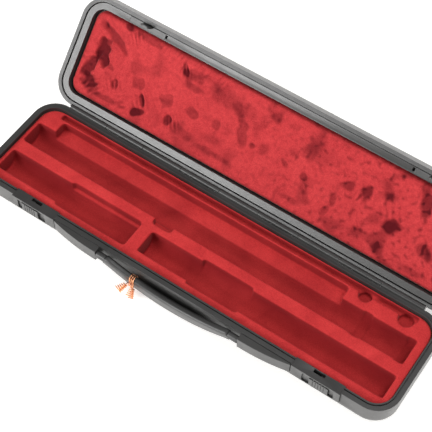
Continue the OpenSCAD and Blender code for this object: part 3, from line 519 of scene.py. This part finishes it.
plushSet = {
    "columns": 620, "rows": 128,
    "halfLength": 0.1821, "halfWidth": 0.03735, "corner": 0.0104,
    "foamFace": 0.0073, "crown": 0.0044, "edge": 0.0038, "thinnest": 0.0003, "wallPaintedLight": 0.3,
    # how late edge, crown and folds fall off towards the ends and towards the long sides
    "edgeFall": (90, 26), "crownFall": (14, 3), "foldFall": (30, 6),
    "folds": 0.0007, "crumple": 0.0004,
    # noise: scale in x and in y, and its seed
    "foldNoise": (34, 44, 2.3), "leanNoise": (62, 74, 7.7),
    "speckNoise": (240, 260, 1.1), "wobbleNoise": (150, 150, 4.2),
    "warp": 0.55, "ridge": 2.4, "wobble": 0.55,
    # folds, ridges and crumples as multiples of foldNoise's scale, and how they add up
    "warpScale": 0.9, "foldScale": 0.55, "ridgeScale": 1.25, "crumpleScale": 3.3,
    "foldMix": (0.9, 0.45, 0.2), "crumpleMix": (0.5, 1.6),
    # pile brushed the other way: where it starts, how sharp, how dark at left and more at right
    "lean": (0.16, 3.2, 0.30, 0.18), "speck": (0.12, 0.25, 0.75), "rightFrom": -0.06, "rightOver": 0.16,
    # presses in the pile: x, y, half length, half width in mm, turn in degrees, depth in mm,
    # darkness, the dent's painted shade with its crushed pile, and softness of the border
    "pressReach": 6,
    "presses": (
        (-164, -5, 7, 11, -14, 2.6, 0.92, 0.22), (-170, 10, 5, 13, 16, 2.4, 0.85, 0.3),
        (-166, 23, 7, 6, 0, 1.8, 0.8, 0.3), (-157, -21, 15, 3.2, 28, 1.4, 0.62, 0.4),
        (-171, -27, 5, 3, 40, 0.8, 0.4, 0.5), (-149, -34, 4.5, 2.6, 20, 1.0, 0.75, 0.35),
        (-139, -33, 3, 2, -40, 0.8, 0.4, 0.4), (-151, 3, 3, 2, 30, 0.7, 0.4, 0.4),
        (-142, 14, 3, 4.5, -25, 1.0, 0.55, 0.35), (-122, 4, 6, 5, 10, 0.7, 0.38, 0.18),
        (-114, 15, 2, 5.5, -30, 1.2, 0.85, 0.3), (-115, 26.5, 6, 3.4, -28, 1.2, 0.82, 0.2),
        (-94, 5, 6, 6.5, 0, 0.6, 0.34, 0.15), (-86, 19.5, 3.6, 4.2, 10, 1.2, 0.8, 0.25),
        (-69, 4, 6, 4.5, 25, 0.7, 0.46, 0.2), (-76, -15.5, 9, 2.8, 0, 0.7, 0.5, 0.5),
        (-89, -26, 3, 6, -18, 0.9, 0.6, 0.3), (-79, -25, 9, 5, 0, 0.5, 0.35, 0.4),
        (-43, -21, 24, 6.5, 4, 0.8, 0.4, 0.45), (-22, -3, 5, 12, -22, 0.8, 0.46, 0.3),
        (-46, 2.5, 5, 4, 30, 0.6, 0.4, 0.25), (-145, 29, 20, 2.2, -2, 0.8, 0.45, 0.5),
        (-126, -32.5, 12, 2.8, 4, 0.7, 0.42, 0.3), (-70, 23, 12, 4, 6, 0.6, 0.35, 0.4),
        (-40, 26, 18, 2.5, 3, 0.5, 0.4, 0.5), (0, -27, 5, 4.5, 0, 0.9, 0.6, 0.5),
        (0, 2.3, 4, 4.5, 0, 0.6, 0.4, 0.5), (-10.6, 3.7, 2.6, 2, 0, 0.7, 0.5, 0.4),
        (20, 3, 4, 2.4, 30, 0.8, 0.5, 0.4), (39, 6, 3.4, 3, 0, 0.8, 0.55, 0.3),
        (43, -18, 12, 7, 10, 0.4, 0.3, 0.7), (73.5, -6, 5, 4, -20, 0.9, 0.6, 0.4),
        (68, 8, 2.6, 8, -6, 0.8, 0.5, 0.4), (66, 20, 2.4, 5, 16, 0.6, 0.45, 0.4),
        (90, -7, 5, 6, 0, 1.2, 0.8, 0.4), (108, -14, 9, 3.5, -20, 0.8, 0.5, 0.6),
        (118, 6, 8, 5.5, -8, 1.3, 0.8, 0.4), (103, 8, 4, 8, 35, 0.6, 0.4, 0.6),
        (114, 27, 5, 5, 0, 0.7, 0.45, 0.6), (135, -24, 12, 4.5, 70, 1.2, 0.75, 0.4),
        (36, 27, 10, 2.4, 0, 0.5, 0.4, 0.5), (150, 12, 7, 5, 20, 0.9, 0.55, 0.4),
        (163, -10, 5, 9, -15, 1.0, 0.6, 0.4), (148, 30, 12, 3, 0, 0.6, 0.4, 0.5),
    ),
    # wrinkles: x, y, half length, half width in mm, turn, wave length and height in mm
    "wrinkleReach": 4, "wrinkleFade": 1.4, "wrinkleStray": 3, "wrinkleShade": 0.22,
    "wrinkles": (
        (-139, -30, 7, 6, -35, 3.4, 0.5), (-113, -33, 8, 3.6, 20, 4.2, 0.45),
        (-97, -33, 9, 3.8, 24, 4.4, 0.45), (-76, -32, 10, 3.6, 24, 4.4, 0.4),
        (-56, -32, 10, 3.4, 24, 4.2, 0.4), (-143, 15, 9, 6, -30, 4.0, 0.55),
        (-115, 17, 10, 7, -35, 4.6, 0.55), (-81, 20, 6, 6, -28, 3.2, 0.55),
        (-88, -24, 6, 6, -20, 3.2, 0.45), (-168, 27, 9, 5, 30, 4.6, 0.5),
        (-175, 2, 4, 14, 75, 5.0, 0.4), (-158, 24, 8, 7, 50, 4.0, 0.5),
        (-168, -24, 12, 6, 118, 5.6, 0.5), (-130, 27, 12, 4, 60, 4.6, 0.4),
        (84, -2, 6, 7, 20, 4.2, 0.3), (112, -4, 10, 8, -30, 5.0, 0.3),
    ),
}


def fallOff(u, v, powers):
    # 1 over most of the lid, 0 at its border, where u or v is 1 or -1
    return (1 - abs(u) ** powers[0]) * (1 - abs(v) ** powers[1])


def sampled(x, y, pattern):
    scaleX, scaleY, seed = pattern
    return Vector((x * scaleX, y * scaleY, seed))


def turned(px, py, a, b, turn):
    # an offset from an ellipse's centre, turned and scaled to its half sizes
    c, d = math.cos(math.radians(turn)), math.sin(math.radians(turn))
    return (px * c + py * d) / a, (py * c - px * d) / b


def plushHeight(u, v, x, y, s):
    # height above the foam in metres, and how light the pile is painted there: brushed patches, painted
    # shade in the presses, painted light and shade on the wrinkles
    still = fallOff(u, v, s["foldFall"])
    h = s["edge"] * fallOff(u, v, s["edgeFall"])
    h += (s["crown"] - s["edge"]) * fallOff(u, v, s["crownFall"])
    p = sampled(x, y, s["foldNoise"])
    warp = noise.noise_vector(p * s["warpScale"]) * s["warp"]
    q = p + warp
    wave, crest, sink = s["foldMix"]
    ridge = 1 - abs(noise.noise(q * s["ridgeScale"])) * s["ridge"]
    fold = noise.noise(q * s["foldScale"])
    h += s["folds"] * (fold * wave + max(ridge, 0) * crest - sink) * still
    rise, crease = s["crumpleMix"]
    fine = noise.noise(q * s["crumpleScale"] + warp * 2)
    h += s["crumple"] * (rise - abs(fine) * crease) * still
    # soft patches brushed the other way, stronger to the right
    leanFrom, leanSharp, leanLeft, leanRight = s["lean"]
    speckFrom, speckLeft, speckRight = s["speck"]
    lean = noise.noise(sampled(x, y, s["leanNoise"]) + warp * 1.4)
    speck = noise.noise(sampled(x, y, s["speckNoise"]))
    right = clamped((x - s["rightFrom"]) / s["rightOver"])
    nap = 1.0 - clamped((lean - leanFrom) * leanSharp) * (leanLeft + leanRight * right)
    nap -= max(speck - speckFrom, 0.0) * (speckLeft + speckRight * right)
    wobble = noise.noise(sampled(x, y, s["wobbleNoise"])) * s["wobble"]
    along, over = x * 1000, y * 1000  # in millimetres, like the lists
    for cx, cy, a, b, turn, depth, dark, soft in s["presses"]:
        if abs(along - cx) > a + b + s["pressReach"]:
            continue
        ex, ey = turned(along - cx, over - cy, a, b, turn)
        d = math.hypot(ex, ey) + wobble
        w = clamped((1 + soft - d) / (2 * soft))
        w = w * w * (3 - 2 * w)
        h -= depth * mm * w * still
        # painted shade in the dent, together with its crushed pile
        nap -= dark * w
    for cx, cy, a, b, turn, length, tall in s["wrinkles"]:
        if abs(along - cx) > a + b + s["wrinkleReach"]:
            continue
        ex, ey = turned(along - cx, over - cy, a, b, turn)
        w = math.exp(-(ex * ex + ey * ey) * s["wrinkleFade"])
        phase = 2 * math.pi * ex * a / length + wobble * s["wrinkleStray"]
        h += tall * mm * w * math.sin(phase) * still
        # painted light and shade on the two slopes of each wrinkle
        nap += s["wrinkleShade"] * w * math.cos(phase)
    return max(h, s["thinnest"]), nap


def makePlush(s):
    cols, rows = s["columns"], s["rows"]
    bm = bmesh.new()
    grid, nap = [], []
    for j in range(rows + 1):
        v = -1 + 2 * j / rows
        y = s["halfWidth"] * v
        # the rows near the long sides are shorter, to follow the round corners
        over = max(0.0, abs(y) - (s["halfWidth"] - s["corner"]))
        reach = s["halfLength"] - s["corner"] + math.sqrt(max(0.0, s["corner"] ** 2 - over ** 2))
        line = []
        for i in range(cols + 1):
            u = -1 + 2 * i / cols
            x = u * reach
            h, upright = plushHeight(u, v, x, y, s)
            nap.append(upright)
            line.append(bm.verts.new(lidPoint(x, y, s["foamFace"] - h)))
        grid.append(line)
    for j in range(rows):
        for i in range(cols):
            bm.faces.new((grid[j][i], grid[j][i + 1], grid[j + 1][i + 1], grid[j + 1][i]))
    # the border drops to the foam's face and closes the underside
    rim = [e for e in bm.edges if e.is_boundary]
    wall = bmesh.ops.extrude_edge_only(bm, edges=rim)["geom"]
    base = lidPoint(0, 0, s["foamFace"])
    down = (base - lidPoint(0, 0, 0)).normalized()
    for p in (g for g in wall if isinstance(g, bmesh.types.BMVert)):
        p.co -= down * (p.co - base).dot(down)
    bmesh.ops.contextual_create(bm, geom=[e for e in bm.edges if e.is_boundary])
    bmesh.ops.recalc_face_normals(bm, faces=bm.faces)
    mesh = meshFrom(bm, "plushLining")
    # painted shade on the border wall, where the pile drops to the foam
    paint(mesh, nap + [s["wallPaintedLight"]] * (len(mesh.vertices) - len(nap)))
    piece = newPiece("plushLining", mesh, finishes["plush"], "lid")
    piece.data.shade_smooth()
    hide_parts("lid_plush_lining")


makePlush(plushSet)

foamSet = {
    "halfLength": 0.1829, "halfWidth": 0.03815, "corner": 0.0109, "cornerSteps": 8,
    "near": 0.0075, "far": 0.0099, "round": 0.0006,
    # depth through the pad and how far its rim is drawn in there, both from 0 to 1
    "profile": ((0.0, 1.0), (0.25, 0.15), (0.5, 0.35), (0.75, 0.15), (1.0, 1.0)),
}


def makeFoam(s):
    # one pad under the plush, rounded at both faces and drawn in a little at mid height
    bm = bmesh.new()
    rings = []
    r, steps = s["corner"], s["cornerSteps"]
    for depth, inset in s["profile"]:
        z = s["near"] + (s["far"] - s["near"]) * depth
        rr = r - s["round"] * inset
        ring = []
        for cx, cy, start in ((1, 1, 0), (-1, 1, 90), (-1, -1, 180), (1, -1, 270)):
            for k in range(steps + 1):
                a = math.radians(start + k * 90 / steps)
                x = cx * (s["halfLength"] - r) + rr * math.cos(a)
                y = cy * (s["halfWidth"] - r) + rr * math.sin(a)
                ring.append(bm.verts.new(lidPoint(x, y, z)))
        rings.append(ring)
    count = len(rings[0])
    for a, b in zip(rings, rings[1:]):
        for k in range(count):
            n = (k + 1) % count
            bm.faces.new((a[k], a[n], b[n], b[k]))
    bm.faces.new(rings[0])
    bm.faces.new(rings[-1])
    bmesh.ops.recalc_face_normals(bm, faces=bm.faces)
    piece = newPiece("foamPad", meshFrom(bm, "foamPad"), finishes["foam"], "lid")
    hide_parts("lid_foam_pad")


makeFoam(foamSet)
print("lid lining made")

tieSet = {
    # the bar that the wire is wound round
    "pivot": (-0.0515, 0.019), "drop": 0.010, "arcHalf": 0.0585,
    "barThick": 0.0056, "barTall": 0.0084, "swell": 0.004,
    # the winding: gaps to the bar's front and to its edges, squareness of each loop
    "wire": 0.00045, "skin": 0.97, "roundness": 4,
    "loops": 3, "loopSteps": 48, "pitch": 0.0017, "x": -0.032,
    "gapFront": 0.00035, "gapEdge": 0.0007, "square": 0.62,
    # the two curly tails
    "curls": 5, "curlSteps": 24, "curlRadius": 0.0016, "curlGrow": 0.0018, "curlLift": 0.6,
    "tailStart": 0.0016, "tailLength": 0.008,
    "tails": ((-0.4, -0.85, -0.15), (0.15, -0.85, -0.5)),
}


def makeTie(t):
    # the bar hangs in an arc, so the winding's centre comes from the arc's radius
    bow = (t["arcHalf"] ** 2 + t["drop"] ** 2) / (2 * t["drop"])
    cy = t["pivot"][0]
    swell = t["swell"] * (1 - (t["x"] / t["arcHalf"]) ** 2)
    cz = t["pivot"][1] - t["drop"] + bow - math.sqrt(bow ** 2 - t["x"] ** 2) - swell / 2
    ry = t["barThick"] / 2 + t["wire"] + t["gapFront"]
    rz = (t["barTall"] + swell) / 2 + t["wire"] + t["gapEdge"]

    def squared(k):
        return math.copysign(abs(k) ** t["square"], k)

    winding = []
    for i in range(t["loopSteps"] * t["loops"] + 1):
        turns = i / t["loopSteps"]
        a = math.radians(180 + 360 * i / t["loopSteps"])
        winding.append(Vector((t["x"] + t["pitch"] * (turns - t["loops"] / 2),
                               cy + ry * squared(math.cos(a)), cz + rz * squared(math.sin(a)))))

    def tail(start, towards, side):
        d = Vector(towards).normalized()
        e = d.cross(Vector((0, 0, 1))).normalized()
        f = d.cross(e)
        out = []
        points = t["curlSteps"] * t["curls"]
        for i in range(1, points + 1):
            a = 2 * math.pi * i / t["curlSteps"]
            k = i / points
            r = t["curlRadius"] + t["curlGrow"] * k
            out.append(start + d * (t["tailStart"] + t["tailLength"] * k) + e * side * r * math.sin(a)
                       + f * (r * (1 - math.cos(a)) - t["curlLift"] * r))
        return out

    first = tail(winding[0], t["tails"][0], -1)
    last = tail(winding[-1], t["tails"][1], 1)
    path = list(reversed(first)) + winding + last
    curve = bpy.data.curves.new("wireTie", "CURVE")
    curve.dimensions = "3D"
    curve.bevel_depth = t["wire"] * t["skin"]
    curve.bevel_resolution = t["roundness"]
    curve.use_fill_caps = True
    spline = curve.splines.new("POLY")
    spline.points.add(len(path) - 1)
    for point, place in zip(spline.points, path):
        point.co = (*place, 1)
    shape = bpy.data.objects.new("wireTieCurve", curve)
    scene.collection.objects.link(shape)
    mesh = evaluatedMesh(shape)
    bpy.data.objects.remove(shape)
    piece = newPiece("wireTie", mesh, finishes["copper"], "handle")
    piece.data.shade_smooth()
    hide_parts("handle_tie")


makeTie(tieSet)
print("wire tie made")

floorSet = {
    "size": 6.0, "colour": (0.84, 0.83, 0.815), "lighter": 1.02, "cloud": 9,
    # the glow lights the case at full strength, but the camera sees a weaker one
    "glow": 1.1, "glowSeen": 0.5, "glowTint": (1, 0.99, 0.975, 1),
}


def makeFloor(f):
    half = f["size"] / 2
    mesh = bpy.data.meshes.new("floor")
    mesh.from_pydata([(-half, -half, 0), (half, -half, 0), (half, half, 0), (-half, half, 0)],
                     [], [(0, 1, 2, 3)])
    floor = bpy.data.objects.new("floor", mesh)
    scene.collection.objects.link(floor)
    s = Shade("paleFloor", roughness=0.6, specular=0.3)
    lighter = tuple(c * f["lighter"] for c in f["colour"])
    tone = s.ramp(s.noise(f["cloud"]), [(0.3, f["colour"] + (1,)), (0.7, lighter + (1,))])
    path = s.tree.nodes.new("ShaderNodeLightPath")
    unseen = s.math("MULTIPLY", path.outputs["Is Camera Ray"], f["glow"] - f["glowSeen"])
    s.bsdf.inputs["Emission Color"].default_value = f["glowTint"]
    s.feed(s.bsdf, "Emission Strength", s.math("SUBTRACT", f["glow"], unseen))
    mesh.materials.append(s.finish(tone))


makeFloor(floorSet)
print("floor made")
